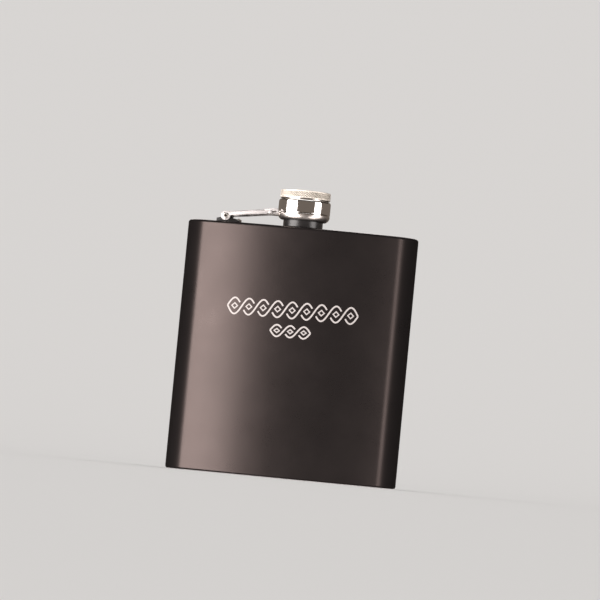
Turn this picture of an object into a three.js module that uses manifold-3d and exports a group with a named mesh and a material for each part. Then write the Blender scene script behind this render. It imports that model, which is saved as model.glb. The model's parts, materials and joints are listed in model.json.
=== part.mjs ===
// A hip flask with a captive screw cap: a welded steel body of kidney section,
// a threaded neck, and a cap that swivels in a sleeve on a hinged link arm.
// Millimetres, +Z up. The origin is the centre of the object's footprint.
// The convex front faces -Y and the link arm is on the -X side.

import * as THREE from "three";
import { mergeVertices } from "three/addons/utils/BufferGeometryUtils.js";
import Module from "manifold-3d";

const wasm = await Module();
wasm.setup();

// ---- driving dimensions ----
const BODY_WIDTH = 92;
const BODY_HEIGHT = 99.2;
const BODY_THICK = 19.4;          // across the section, front to back
const BODY_SAGITTA = 4.2;         // how far the section's middle line bows forward
const SHELL_WALL = 0.6;
const SHELL_ROUND = 0.5;          // rounding of the shells' outer rims
const PLATE_THICK = 0.6;
const WELD_GAP = 0.3;             // clear space left where two pieces are welded

const BORE_R = 5.6;               // mouth of the flask
const SPIGOT_R = 6.9;             // stretch of the neck inside the top plate's hole
const COLLAR_R = 7.85;
const COLLAR_TOP = 3.2;           // heights from here on are above the top plate
const COLLAR_CHAMFER = 0.4;
const NECK_TOP = 7.7;
const NECK_LIP_R = 6.2;
const FLANGE_R = 8.0;             // swaged under the top plate
const FLANGE_THICK = 0.6;

const PITCH = 2.5;
const NECK_ROOT_R = 6.6;
const NECK_CREST_R = 7.6;
const CAP_ROOT_R = 8.25;
const CAP_CREST_R = 7.25;
const RIB_CREST = 0.22;           // half width of a thread rib at its crest
const RIB_FOOT = 0.55;            // half width of a thread rib at its foot
const NECK_THREAD = [3.8, 6.9];
const CAP_THREAD = [4.2, 7.3];
const THREAD_FADE = 0.6;
const THREAD_STEP = 0.25;

const SLEEVE_R = 10.3;
const SLEEVE_WALL = 0.5;
const SLEEVE_BOTTOM = 3.1;
const SLEEVE_TOP = 11.2;
const SLEEVE_ROLL = 2.6;          // radius of the sleeve's turned-in lower edge
const SLEEVE_LIP_R = 9.0;
const SLEEVE_CHAMFER = 0.15;
const BARREL_R = 9.5;
const BARREL_MOUTH_R = 9.0;       // where the barrel narrows to pass the sleeve's lip
const BARREL_MOUTH = [4.0, 4.3];
const BARREL_SHOULDER = 4.9;
const BARREL_TOP = 11.1;
const PLUG_R = 8.75;              // stretch of the insert inside the knurled head
const PLUG_WALL = 0.8;
const LINER_BOTTOM = NECK_TOP + WELD_GAP;
const LINER_THICK = 1.2;
const LINER_R = 7.7;
const HEAD_R = 9.95;
const HEAD_BOTTOM = 11.6;
const HEAD_TOP = 14.75;
const HEAD_WALL = 0.6;
const HEAD_CHAMFER = [0.25, 0.5]; // inset of the head's lower and upper edge
const KNURL_SPAN = [11.75, 14.3];
const KNURL_ROWS = 5;
const KNURL_DEPTH = 0.18;
const KNURL_AROUND = 72;

const HINGE_X = -30.4;
const HINGE_RISE = 2.3;
const ARM_ANGLE = THREE.MathUtils.degToRad(9.4);
const PIN_X = -12.8;              // the slot pin, from the neck's axis
const SLOT_TRAVEL = 2.2;
const ARM_LENGTH = 21.2;          // hinge axis to the tips of the fork
const ARM_INNER = 4.7;            // half width between the arm's legs
const ARM_SHEET = 0.6;
const EAR_R = 1.85;
const HINGE_PIN_R = 0.85;
const SLOT_PIN_R = 0.3;
const PIN_CLEARANCE = 0.1;
const SLOT_CLEARANCE = 0.05;
const LEG_HALF = [0.81, 0.99];    // half height of a leg at its ear and at its tip
const LEG_MIDDLE = [0.75, 0.33];  // how far its middle line runs above the two pins
const WEB_CLEAR = [3.0, 2.2];     // web's distance from the hinge axis and from the pin
const RIVET_HEAD_R = 1.25;
const RIVET_BORE_R = 0.5;
const SLOT_PIN_HEAD_R = 0.65;
const PIN_OVERHANG = 0.35;
const PIN_HEAD = 0.22;
const BRACKET_HALF = 4.4;
const BRACKET_SHEET = 0.6;
const BRACKET_SPAN = [-3.6, 5.4]; // along X, from the hinge axis
const BRACKET_TAB = 1.2;          // height of the end turned up under the arm
const CHEEK_R = 1.7;
const CHEEK_FOOT = 0.9;           // height at which a cheek narrows to its round top
const CHEEK_SPREAD = 0.35;        // radians that the round runs on past a half turn, per side
const LUG_HALF = 3.3;
const KNUCKLE_R = 0.85;

// ---- facets in a full turn, or along one stretch ----
const NECK_FACETS = 48;
const SLEEVE_FACETS = 56;
const PIN_FACETS = 20;
const HOLE_FACETS = 24;
const CURVE_STEPS = 10;           // along each curve of a bracket or a lug
const EAR_STEPS = 14;             // along each curve of the arm's legs
const ROLL_STEPS = 5;             // round the sleeve's roll
const END_STEPS = [8, 10];        // round a side, in the front shell and in the back shell
const BOW_STEPS = [22, 18];       // along the front's bow and along the back's

// ---- worked out from them ----
const END_R = BODY_THICK / 2;
const END_X = BODY_WIDTH / 2 - END_R;
const MID_R = (END_X ** 2 + BODY_SAGITTA ** 2) / (2 * BODY_SAGITTA);
const END_ANGLE = Math.asin(END_X / MID_R);
const BODY_DEPTH = BODY_THICK + BODY_SAGITTA;
const NECK_Y = (SLEEVE_R - (BODY_DEPTH - END_R)) / 2;
const BOW_Y = NECK_Y + MID_R;
const END_Y = BOW_Y - MID_R * Math.cos(END_ANGLE);
const PIN_REACH = (PIN_X - HINGE_X) / Math.cos(ARM_ANGLE);
const PIN_RISE = HINGE_RISE + PIN_REACH * Math.sin(ARM_ANGLE);

// ---- geometry helpers ----

function closedGeometry(points, triangles) {
  const geometry = new THREE.BufferGeometry();
  geometry.setAttribute("position", new THREE.Float32BufferAttribute(points.flat(), 3));
  geometry.setIndex(triangles.flat());
  return geometry;
}

// Sweeps a closed section of [outward offset, height] points along a path of {x, y, nx, ny}.
function sweepSection(path, section) {
  const points = path.flatMap((p) =>
    section.map(([out, z]) => [p.x + p.nx * out, p.y + p.ny * out, z]));
  const triangles = [];
  const width = section.length;
  for (let i = 0; i < path.length - 1; i++) {
    for (let j = 0; j < width; j++) {
      const k = (j + 1) % width;
      const [a, b] = [i * width + j, i * width + k];
      const [c, d] = [a + width, b + width];
      triangles.push([a, c, b], [b, c, d]);
    }
  }
  const outline = section.map(([out, z]) => new THREE.Vector2(out, z));
  const last = (path.length - 1) * width;
  for (const [a, b, c] of THREE.ShapeUtils.triangulateShape(outline, [])) {
    triangles.push([a, b, c], [last + a, last + c, last + b]);
  }
  return closedGeometry(points, triangles);
}

// Turns a loop of [radius, height] points about Z. profileAt(angle, index) gives the loop
// at each step, so that threads and knurls can change it. A radius of 0 is on the axis.
function revolve(segments, profileAt) {
  const points = [];
  const rows = [];
  const loop = profileAt(0, 0);
  const onAxis = loop.map(([r, z]) => (r === 0 ? points.push([0, 0, z]) - 1 : -1));
  for (let i = 0; i < segments; i++) {
    const angle = (2 * Math.PI * i) / segments;
    rows.push(profileAt(angle, i).map(([r, z], j) =>
      onAxis[j] >= 0
        ? onAxis[j]
        : points.push([r * Math.cos(angle), r * Math.sin(angle), z]) - 1));
  }
  const triangles = [];
  for (let i = 0; i < segments; i++) {
    const [here, next] = [rows[i], rows[(i + 1) % segments]];
    for (let j = 0; j < loop.length; j++) {
      const k = (j + 1) % loop.length;
      const [a, b, c, d] = [here[j], here[k], next[j], next[k]];
      if (a !== c) triangles.push([a, c, b]);
      if (b !== d) triangles.push([b, c, d]);
    }
  }
  return closedGeometry(points, triangles);
}

function toSolid(geometry) {
  const bare = geometry.clone();
  bare.deleteAttribute("normal");
  bare.deleteAttribute("uv");
  const merged = mergeVertices(bare, 1e-5);
  return new wasm.Manifold(new wasm.Mesh({
    numProp: 3,
    vertProperties: new Float32Array(merged.attributes.position.array),
    triVerts: new Uint32Array(merged.index.array),
  }));
}

function toGeometry(solid) {
  const mesh = solid.getMesh();
  const geometry = new THREE.BufferGeometry();
  geometry.setAttribute("position", new THREE.BufferAttribute(mesh.vertProperties, 3));
  geometry.setIndex(new THREE.BufferAttribute(mesh.triVerts, 1));
  return geometry;
}

// Extrudes an outline drawn in the X-Z plane along Y, from y0 to y1.
function extrudeAlongY(shape, y0, y1, curveSegments = CURVE_STEPS) {
  const geometry = new THREE.ExtrudeGeometry(shape, {
    depth: y1 - y0, bevelEnabled: false, curveSegments,
  });
  geometry.rotateX(Math.PI / 2);
  geometry.translate(0, y1, 0);
  return geometry;
}

function circleHole(x, z, r) {
  const hole = new THREE.Path();
  hole.absarc(x, z, r, 0, 2 * Math.PI, true);
  return hole;
}

function slotHole(x0, x1, r) {
  const hole = new THREE.Path();
  hole.absarc(x1, 0, r, Math.PI / 2, -Math.PI / 2, true);
  hole.absarc(x0, 0, r, -Math.PI / 2, -Math.PI * 1.5, true);
  return hole;
}

// A pin along Y with a peened head at each end, and a bore if it is tubular.
function pinAlongY(shank, head, halfLength, headThick, bore = 0) {
  const shoulder = halfLength - headThick;
  const geometry = revolve(PIN_FACETS, () => [
    [bore, -halfLength], [head, -halfLength], [head, -shoulder], [shank, -shoulder],
    [shank, shoulder], [head, shoulder], [head, halfLength], [bore, halfLength],
  ]);
  return geometry.rotateX(Math.PI / 2);
}

// ---- the body's kidney section ----

function arcPath(cx, cy, radius, from, to, steps, side = 1) {
  const path = [];
  for (let i = 0; i <= steps; i++) {
    const angle = from + ((to - from) * i) / steps;
    const [c, s] = [Math.cos(angle), Math.sin(angle)];
    path.push({ x: cx + radius * c, y: cy + radius * s, nx: side * c, ny: side * s });
  }
  return path;
}

// The section's outline runs anticlockwise: left end, front, right end, back.
function frontPath(trim) {
  const down = 1.5 * Math.PI;
  const [left, right] = [down - END_ANGLE, down + END_ANGLE];
  return [
    ...arcPath(-END_X, END_Y, END_R, Math.PI + trim, left, END_STEPS[0]),
    ...arcPath(0, BOW_Y, MID_R + END_R, left, right, BOW_STEPS[0]).slice(1, -1),
    ...arcPath(END_X, END_Y, END_R, right, 2 * Math.PI - trim, END_STEPS[0]),
  ];
}

function backPath(trim) {
  const [up, down] = [0.5 * Math.PI, 1.5 * Math.PI];
  const [left, right] = [down - END_ANGLE, down + END_ANGLE];
  return [
    ...arcPath(END_X, END_Y, END_R, trim, up + END_ANGLE, END_STEPS[1]),
    ...arcPath(0, BOW_Y, MID_R - END_R, right, left, BOW_STEPS[1], -1).slice(1, -1),
    ...arcPath(-END_X, END_Y, END_R, up - END_ANGLE, Math.PI - trim, END_STEPS[1]),
  ];
}

function shell(path) {
  const [wall, round, top] = [SHELL_WALL, SHELL_ROUND, BODY_HEIGHT];
  const soft = round * (1 - Math.SQRT1_2);
  return sweepSection(path, [
    [-wall, 0], [-round, 0], [-soft, soft], [0, round],
    [0, top - round], [-soft, top - soft], [-round, top], [-wall, top],
  ]);
}

function endPlate(bottom, holeR) {
  const inset = SHELL_WALL + WELD_GAP;
  const outline = [...frontPath(0), ...backPath(0).slice(1, -1)];
  const shape = new THREE.Shape(outline.map(
    (p) => new THREE.Vector2(p.x - p.nx * inset, p.y - p.ny * inset)));
  if (holeR) shape.holes.push(circleHole(0, NECK_Y, holeR));
  const geometry = new THREE.ExtrudeGeometry(shape, {
    depth: PLATE_THICK, bevelEnabled: false, curveSegments: HOLE_FACETS,
  });
  return geometry.translate(0, 0, bottom);
}

// ---- threads, neck and cap ----

// How far a thread rib stands up, from 0 to 1, at an angle and height.
function ribHeight(angle, z, phase, [from, to]) {
  const turn = z / PITCH - angle / (2 * Math.PI) - phase;
  const offset = Math.abs(turn - Math.round(turn)) * PITCH;
  const flank = THREE.MathUtils.clamp((RIB_FOOT - offset) / (RIB_FOOT - RIB_CREST), 0, 1);
  const fade = THREE.MathUtils.clamp(Math.min(z - from, to - z) / THREAD_FADE, 0, 1);
  return flank * fade;
}

function threadRows(angle, root, crest, phase, span) {
  const rows = Math.round((span[1] - span[0]) / THREAD_STEP);
  return Array.from({ length: rows + 1 }, (_, i) => {
    const z = span[0] + ((span[1] - span[0]) * i) / rows;
    return [root + (crest - root) * ribHeight(angle, z, phase, span), z];
  });
}

function neckSpout() {
  const below = -PLATE_THICK - WELD_GAP;
  return revolve(NECK_FACETS, (angle) => [
    [BORE_R, below - FLANGE_THICK], [FLANGE_R, below - FLANGE_THICK], [FLANGE_R, below],
    [SPIGOT_R, below], [SPIGOT_R, WELD_GAP], [COLLAR_R, WELD_GAP],
    [COLLAR_R, COLLAR_TOP], [NECK_ROOT_R, COLLAR_TOP + COLLAR_CHAMFER],
    ...threadRows(angle, NECK_ROOT_R, NECK_CREST_R, 0, NECK_THREAD),
    [NECK_LIP_R, NECK_TOP], [BORE_R, NECK_TOP],
  ]);
}

function capInsert() {
  const [mouth, narrow] = BARREL_MOUTH;
  const roof = LINER_BOTTOM + LINER_THICK + WELD_GAP;
  const floor = roof + PLUG_WALL;
  const top = HEAD_TOP - HEAD_WALL - WELD_GAP;
  return revolve(NECK_FACETS, (angle) => [
    [BARREL_MOUTH_R, mouth], [BARREL_MOUTH_R, narrow], [BARREL_R, BARREL_SHOULDER],
    [BARREL_R, BARREL_TOP], [PLUG_R, BARREL_TOP], [PLUG_R, top],
    [PLUG_R - PLUG_WALL, top], [PLUG_R - PLUG_WALL, floor], [0, floor],
    [0, roof], [CAP_ROOT_R, roof],
    ...threadRows(angle, CAP_ROOT_R, CAP_CREST_R, 0.5, CAP_THREAD).reverse(),
    [CAP_ROOT_R, mouth],
  ]);
}

function capLiner() {
  const top = LINER_BOTTOM + LINER_THICK;
  return revolve(NECK_FACETS, () => [
    [0, LINER_BOTTOM], [LINER_R, LINER_BOTTOM], [LINER_R, top], [0, top],
  ]);
}

function swivelSleeve() {
  const centreR = SLEEVE_R - SLEEVE_ROLL;
  const lowest = Math.acos((SLEEVE_LIP_R - centreR) / SLEEVE_ROLL);
  const centreZ = SLEEVE_BOTTOM + SLEEVE_ROLL * Math.sin(lowest);
  const roll = (radius) => {
    const end = Math.acos((SLEEVE_LIP_R - centreR) / radius);
    return Array.from({ length: ROLL_STEPS + 1 }, (_, i) => {
      const angle = (end * i) / ROLL_STEPS;
      return [centreR + radius * Math.cos(angle), centreZ - radius * Math.sin(angle)];
    });
  };
  const inner = SLEEVE_R - SLEEVE_WALL;
  return revolve(SLEEVE_FACETS, () => [
    [inner, SLEEVE_TOP],
    ...roll(SLEEVE_ROLL - SLEEVE_WALL),
    ...roll(SLEEVE_ROLL).reverse(),
    [SLEEVE_R, SLEEVE_TOP - SLEEVE_CHAMFER], [SLEEVE_R - SLEEVE_CHAMFER, SLEEVE_TOP],
  ]);
}

function capHead() {
  const [from, to] = KNURL_SPAN;
  const inner = HEAD_R - HEAD_WALL - KNURL_DEPTH;
  return revolve(KNURL_AROUND, (angle, i) => {
    const knurl = Array.from({ length: KNURL_ROWS + 1 }, (_, j) => [
      HEAD_R - KNURL_DEPTH * ((i + j) % 2), from + ((to - from) * j) / KNURL_ROWS,
    ]);
    return [
      [inner, HEAD_BOTTOM], [HEAD_R - HEAD_CHAMFER[0], HEAD_BOTTOM], ...knurl,
      [HEAD_R - HEAD_CHAMFER[1], HEAD_TOP], [0, HEAD_TOP], [0, HEAD_TOP - HEAD_WALL],
      [inner, HEAD_TOP - HEAD_WALL],
    ];
  });
}

// ---- hinge, link arm and lug ----

// A folded channel with a cheek on each side. Its origin is the hinge axis.
function hingeBracket() {
  const foot = -HINGE_RISE + WELD_GAP;
  const [left, right] = BRACKET_SPAN;
  const [sheet, half, inner] = [BRACKET_SHEET, BRACKET_HALF, BRACKET_HALF - BRACKET_SHEET];
  const cheek = new THREE.Shape();
  cheek.moveTo(left, foot);
  cheek.lineTo(right - sheet, foot);
  cheek.lineTo(right - sheet, foot + CHEEK_FOOT);
  cheek.absarc(0, 0, CHEEK_R, -CHEEK_SPREAD, Math.PI + CHEEK_SPREAD, false);
  cheek.lineTo(left, foot + CHEEK_FOOT);
  cheek.closePath();
  cheek.holes.push(circleHole(0, 0, HINGE_PIN_R + PIN_CLEARANCE));
  const base = new THREE.Shape();
  base.moveTo(left, foot);
  base.lineTo(right, foot);
  base.lineTo(right, foot + BRACKET_TAB);
  base.lineTo(right - sheet, foot + BRACKET_TAB);
  base.lineTo(right - sheet, foot + sheet);
  base.lineTo(left, foot + sheet);
  base.closePath();
  return toGeometry(
    toSolid(extrudeAlongY(base, -half, half))
      .add(toSolid(extrudeAlongY(cheek, -half, -inner)))
      .add(toSolid(extrudeAlongY(cheek, inner, half))));
}

// The arm lies along +X from the hinge axis, with its web on top.
function linkArm() {
  const [earHalf, tipHalf] = LEG_HALF;
  const [earMiddle, tipMiddle] = LEG_MIDDLE;
  const [top, bottom] = [earMiddle + earHalf, earMiddle - earHalf];
  const tipX = ARM_LENGTH - tipHalf;
  const leg = new THREE.Shape();
  leg.absarc(0, 0, EAR_R, Math.asin(top / EAR_R), 2 * Math.PI + Math.asin(bottom / EAR_R));
  leg.absarc(tipX, tipMiddle, tipHalf, -Math.PI / 2, Math.PI / 2);
  leg.closePath();
  leg.holes.push(circleHole(0, 0, HINGE_PIN_R + PIN_CLEARANCE));
  leg.holes.push(slotHole(PIN_REACH, PIN_REACH + SLOT_TRAVEL, SLOT_PIN_R + SLOT_CLEARANCE));
  const earX = Math.sqrt(EAR_R ** 2 - top ** 2);
  const slope = (tipMiddle + tipHalf - top) / (tipX - earX);
  const [webFrom, webTo] = [WEB_CLEAR[0], PIN_REACH - WEB_CLEAR[1]];
  const topAt = (x) => top + slope * (x - earX);
  const web = new THREE.Shape();
  web.moveTo(webFrom, topAt(webFrom) - ARM_SHEET);
  web.lineTo(webTo, topAt(webTo) - ARM_SHEET);
  web.lineTo(webTo, topAt(webTo));
  web.lineTo(webFrom, topAt(webFrom));
  web.closePath();
  const outer = ARM_INNER + ARM_SHEET;
  return toGeometry(
    toSolid(extrudeAlongY(leg, -outer, -ARM_INNER, EAR_STEPS))
      .add(toSolid(extrudeAlongY(leg, ARM_INNER, outer, EAR_STEPS)))
      .add(toSolid(extrudeAlongY(web, -outer, outer))));
}

// The lug stands out of the sleeve towards the arm. Its origin is the slot pin's axis.
function sleeveLug() {
  const lug = new THREE.Shape();
  lug.absarc(0, 0, KNUCKLE_R, Math.PI / 2, 1.5 * Math.PI, false);
  lug.lineTo(-PIN_X, -KNUCKLE_R);
  lug.lineTo(-PIN_X, KNUCKLE_R);
  lug.closePath();
  lug.holes.push(circleHole(0, 0, SLOT_PIN_R + PIN_CLEARANCE));
  const cutter = new THREE.CylinderGeometry(
    SLEEVE_R + WELD_GAP, SLEEVE_R + WELD_GAP, 4 * KNUCKLE_R, SLEEVE_FACETS);
  cutter.rotateX(Math.PI / 2);
  cutter.translate(-PIN_X, 0, 0);
  return toGeometry(
    toSolid(extrudeAlongY(lug, -LUG_HALF, LUG_HALF)).subtract(toSolid(cutter)));
}

// ---- materials and assembly ----

const finish = {
  coat: { color: 0x2b2829, roughness: 0.45, metalness: 0.3 },
  polished: { color: 0xd8d4ce, roughness: 0.12, metalness: 1.0 },
  brushed: { color: 0xcfcac3, roughness: 0.32, metalness: 1.0 },
  liner: { color: 0xe9e6df, roughness: 0.6, metalness: 0.0 },
};

function piece(name, geometry, look) {
  const mesh = new THREE.Mesh(geometry, new THREE.MeshStandardMaterial(finish[look]));
  mesh.name = name;
  return mesh;
}

function bodyPieces() {
  const seam = WELD_GAP / 2 / END_R;
  return [
    piece("front_shell", shell(frontPath(seam)), "coat"),
    piece("back_shell", shell(backPath(seam)), "coat"),
    piece("top_plate", endPlate(BODY_HEIGHT - PLATE_THICK, SPIGOT_R + WELD_GAP), "coat"),
    piece("base_plate", endPlate(0, 0), "coat"),
  ];
}

function capAndNeckPieces() {
  return [
    piece("neck_spout", neckSpout(), "coat"),
    piece("cap_insert", capInsert(), "brushed"),
    piece("cap_liner", capLiner(), "liner"),
    piece("swivel_sleeve", swivelSleeve(), "polished"),
    piece("cap_head", capHead(), "brushed"),
  ];
}

function hingePieces() {
  const reach = ARM_INNER + ARM_SHEET + PIN_OVERHANG;
  const rivet = pinAlongY(HINGE_PIN_R, RIVET_HEAD_R, reach, PIN_HEAD, RIVET_BORE_R);
  return [
    piece("hinge_bracket", hingeBracket(), "coat"),
    piece("hinge_rivet", rivet, "brushed"),
    piece("link_arm", linkArm(), "brushed"),
  ];
}

function lugPieces() {
  const reach = ARM_INNER + ARM_SHEET + PIN_OVERHANG;
  const pin = pinAlongY(SLOT_PIN_R, SLOT_PIN_HEAD_R, reach, PIN_HEAD);
  return [
    piece("sleeve_lug", sleeveLug(), "brushed"),
    piece("slot_pin", pin, "brushed"),
  ];
}

const flask = new THREE.Group();
flask.add(...bodyPieces());

const neckAxis = new THREE.Group();
neckAxis.position.set(0, NECK_Y, BODY_HEIGHT);
neckAxis.add(...capAndNeckPieces());
flask.add(neckAxis);

const hinge = new THREE.Group();
hinge.position.set(HINGE_X, 0, HINGE_RISE);
const [bracket, rivet, arm] = hingePieces();
arm.rotation.y = -ARM_ANGLE;
hinge.add(bracket, rivet, arm);
neckAxis.add(hinge);

const lug = new THREE.Group();
lug.position.set(PIN_X, 0, PIN_RISE);
lug.add(...lugPieces());
neckAxis.add(lug);

export default flask;
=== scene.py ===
"""A hip flask with a captive screw cap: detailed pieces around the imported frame.

Lengths are millimetres in the CAD frame and become metres when a mesh is made.
"""

import json
import math

import bmesh
import bpy
from mathutils import Matrix, Vector
from mathutils.geometry import tessellate_polygon

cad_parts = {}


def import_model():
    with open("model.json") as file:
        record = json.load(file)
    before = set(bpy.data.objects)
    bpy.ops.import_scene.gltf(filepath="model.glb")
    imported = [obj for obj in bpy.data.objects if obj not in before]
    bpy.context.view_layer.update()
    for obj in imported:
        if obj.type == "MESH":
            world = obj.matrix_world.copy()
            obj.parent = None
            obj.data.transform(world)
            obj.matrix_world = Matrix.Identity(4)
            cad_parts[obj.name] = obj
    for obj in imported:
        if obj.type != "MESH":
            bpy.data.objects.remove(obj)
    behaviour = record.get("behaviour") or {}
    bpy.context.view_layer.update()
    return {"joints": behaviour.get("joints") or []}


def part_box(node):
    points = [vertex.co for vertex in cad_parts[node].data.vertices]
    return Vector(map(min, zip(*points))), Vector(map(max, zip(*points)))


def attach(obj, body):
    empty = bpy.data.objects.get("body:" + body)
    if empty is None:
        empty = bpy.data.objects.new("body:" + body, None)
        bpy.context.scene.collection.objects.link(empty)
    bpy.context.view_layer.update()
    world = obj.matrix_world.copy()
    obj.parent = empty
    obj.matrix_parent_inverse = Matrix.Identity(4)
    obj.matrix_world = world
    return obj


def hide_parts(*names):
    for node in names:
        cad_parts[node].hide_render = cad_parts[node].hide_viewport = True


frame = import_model()

MM = 0.001
TAU = 2 * math.pi

# ---- where the frame puts things ----


def node_box(node):
    low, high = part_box(node)
    return low / MM, high / MM


def joint_origin(name):
    joint = next(j for j in frame["joints"] if j["name"] == name)
    return Vector(joint["pos_m"]) / MM


FRONT_LOW, FRONT_HIGH = node_box("front_shell")
BACK_HIGH = node_box("back_shell")[1]
HEAD_LOW, HEAD_HIGH = node_box("cap_head")
SLEEVE_LOW, SLEEVE_HIGH = node_box("swivel_sleeve")
NECK_LOW, NECK_HIGH = node_box("neck_spout")
INSERT_LOW, INSERT_HIGH = node_box("cap_insert")
LINER_LOW, LINER_HIGH = node_box("cap_liner")
BRACKET_LOW, BRACKET_HIGH = node_box("hinge_bracket")
RIVET_LOW, RIVET_HIGH = node_box("hinge_rivet")
PIN_LOW, PIN_HIGH = node_box("slot_pin")
LUG_LOW, LUG_HIGH = node_box("sleeve_lug")

TOP = FRONT_HIGH.z
NECK_Y = joint_origin("cap_turn").y
NECK_ORIGIN = Vector((0, NECK_Y, TOP))
HINGE = joint_origin("arm_hinge")
SLOT_PIN = joint_origin("sleeve_pivot")
SLOT_TRAVEL = next(j for j in frame["joints"] if j["name"] == "slot_slide")["range_m"][1] / MM
ARM_VECTOR = SLOT_PIN - HINGE
ARM_ANGLE = math.atan2(ARM_VECTOR.z, ARM_VECTOR.x)

# ---- the body's kidney section ----
BODY_THICK = 19.4
END_R = BODY_THICK / 2
END_X = FRONT_HIGH.x - END_R
SAGITTA = BACK_HIGH.y - FRONT_LOW.y - BODY_THICK
MID_R = (END_X**2 + SAGITTA**2) / (2 * SAGITTA)
END_ANGLE = math.asin(END_X / MID_R)
BOW_Y = FRONT_LOW.y + MID_R + END_R
END_Y = BOW_Y - MID_R * math.cos(END_ANGLE)
FRONT_R = MID_R + END_R

WALL = 0.6
RIM_R = 1.1
RIM_LAND = 1.25             # how far the rim turns in over the end plates
GROOVE = 0.12               # fine gap between a rim and its plate
PLATE = 0.6
PLATE_EDGE = 0.12
SEAM_GAP = 0.03             # half of the gap along each side's weld
SEAM_FILLET = 0.12
FRONT_STEPS, BACK_STEPS, END_STEPS = 96, 80, 28
PLATE_BOW_STEPS, PLATE_END_STEPS = 48, 16

# ---- neck, thread and cap ----
BORE_R = 5.6
COLLAR_R = 7.85
COLLAR_TOP = 3.2            # heights from here on are above the top plate
COLLAR_EDGE = 0.35
WELD_FILLET = 0.45
NECK_RIM = NECK_HIGH.z - TOP
NECK_LIP_R = 6.2
LIP_ROUND = 0.25            # rounding of the mouth's outer edge
MOUTH_ROUND = 0.2           # and of its inner edge
SPIGOT_R = 6.9
SPIGOT_GAP = 0.3            # between the neck and the edge of the plate's hole
PITCH = 2.5
NECK_ROOT_R, NECK_CREST_R = 6.6, 7.6
CAP_ROOT_R, CAP_CREST_R = 8.25, 7.25
RIB_CREST, RIB_FOOT = 0.22, 0.55
NECK_THREAD = (3.8, 6.9)
CAP_THREAD = (4.2, 7.3)
THREAD_FADE = 0.6
NECK_STEPS = 144            # facets round the neck and the insert
BARREL_R = 9.5
BARREL_MOUTH_R = 9.0
BARREL_SHOULDER = 4.9
BARREL_TOP = 10.4
PLUG_R, PLUG_WALL = 8.75, 0.8
AXIS_R = 0.05               # pinhole left on the axis of a turned solid
LINER_R = LINER_HIGH.x
LINER_GROOVE = 0.12         # ring that the mouth presses into the liner
LINER_ROUND = 0.2
SLEEVE_R = SLEEVE_HIGH.x
SLEEVE_WALL = 0.5
SLEEVE_ROLL = 2.6
SLEEVE_LIP_R = 9.0
SLEEVE_SHOULDER = 1.0
SLEEVE_LAP = 0.2            # how far the shoulder runs on over the barrel
SLEEVE_CREASE = 0.2         # depth of the line formed above the roll
CREASE_RISE, CREASE_TALL = 0.1, 0.5
ROLL_ZONE_HEIGHT = 2.2           # height that the roll's darker, browner and rougher zone reaches
SLEEVE_STEPS = 192
HEAD_R = HEAD_HIGH.x
HEAD_EDGE = 0.3
HEAD_FOOT = 0.28            # plain band under the knurl
KNURL_AROUND = 60
KNURL_ROWS = 3
KNURL_DEPTH = 0.22
KNURL_STEPS = 10            # facets across one diamond

# ---- hinge, arm and lug ----
SHEET = 0.6
SHEET_EDGE = 0.1
ARM_INNER = 4.7
ARM_LENGTH = 21.2
EAR_R = 1.85
LEG_HALF = (0.81, 0.99)     # half height of a leg at its ear and at its tip
LEG_MIDDLE = (0.75, 0.33)   # how far its middle line runs above the two pins
ARM_BEND = 0.6
HINGE_PIN_R, SLOT_PIN_R = 0.85, 0.3
PIN_CLEARANCE = 0.1
SLOT_CLEARANCE = 0.05
RIVET_BORE_R = 0.5
PIN_HEAD = 0.22
WEB_FROM, WEB_BACK = 3.0, 2.2
WEB_LAP = 0.07              # how far the web's ends run into the legs
CHEEK_R = 1.7
CHEEK_FOOT = 0.3            # height above the base at which a cheek narrows
CHEEK_SPREAD = 20           # degrees that its round top runs on past a half turn
BRACKET_EDGE = 0.12
TAB_HEIGHT = 1.2
TAB_BEND = 0.6
KNUCKLE_R = 0.85
KNUCKLE_EDGE = 0.15
LUG_OVERLAP = 0.15          # how far the lug runs into the sleeve's wall

# ---- mesh helpers ----


def new_object(name, points, faces, sharp=32):
    """A mesh object from points in millimetres, smooth but for edges over `sharp` degrees."""
    mesh = bpy.data.meshes.new(name)
    mesh.from_pydata([Vector(p) * MM for p in points], [], faces)
    obj = bpy.data.objects.new(name, mesh)
    bpy.context.collection.objects.link(obj)
    clean(mesh, sharp)
    return obj


def clean(mesh, sharp):
    """Welds doubled points, turns faces outward and sets the shading."""
    work = bmesh.new()
    work.from_mesh(mesh)
    bmesh.ops.remove_doubles(work, verts=work.verts, dist=1e-7)
    bmesh.ops.recalc_face_normals(work, faces=work.faces)
    work.to_mesh(mesh)
    work.free()
    mesh.shade_smooth()
    mesh.set_sharp_from_angle(angle=math.radians(sharp))


def dress(obj, body, nodes, material):
    """Gives a piece its material and its body, and hides the CAD nodes that it stands for."""
    obj.data.materials.clear()
    obj.data.materials.append(material)
    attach(obj, body)
    if nodes:
        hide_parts(*nodes)
    return obj


def arc(cx, cz, radius, start, end, steps):
    """Points of an arc from start to end, in degrees."""
    return [
        (
            cx + radius * math.cos(math.radians(start + (end - start) * i / steps)),
            cz + radius * math.sin(math.radians(start + (end - start) * i / steps)),
        )
        for i in range(steps + 1)
    ]


def round_hole(x, z, radius, steps=32):
    """A clockwise ring of points, as slab() takes for a hole."""
    return arc(x, z, radius, 360, 0, steps)[:-1]


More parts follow.
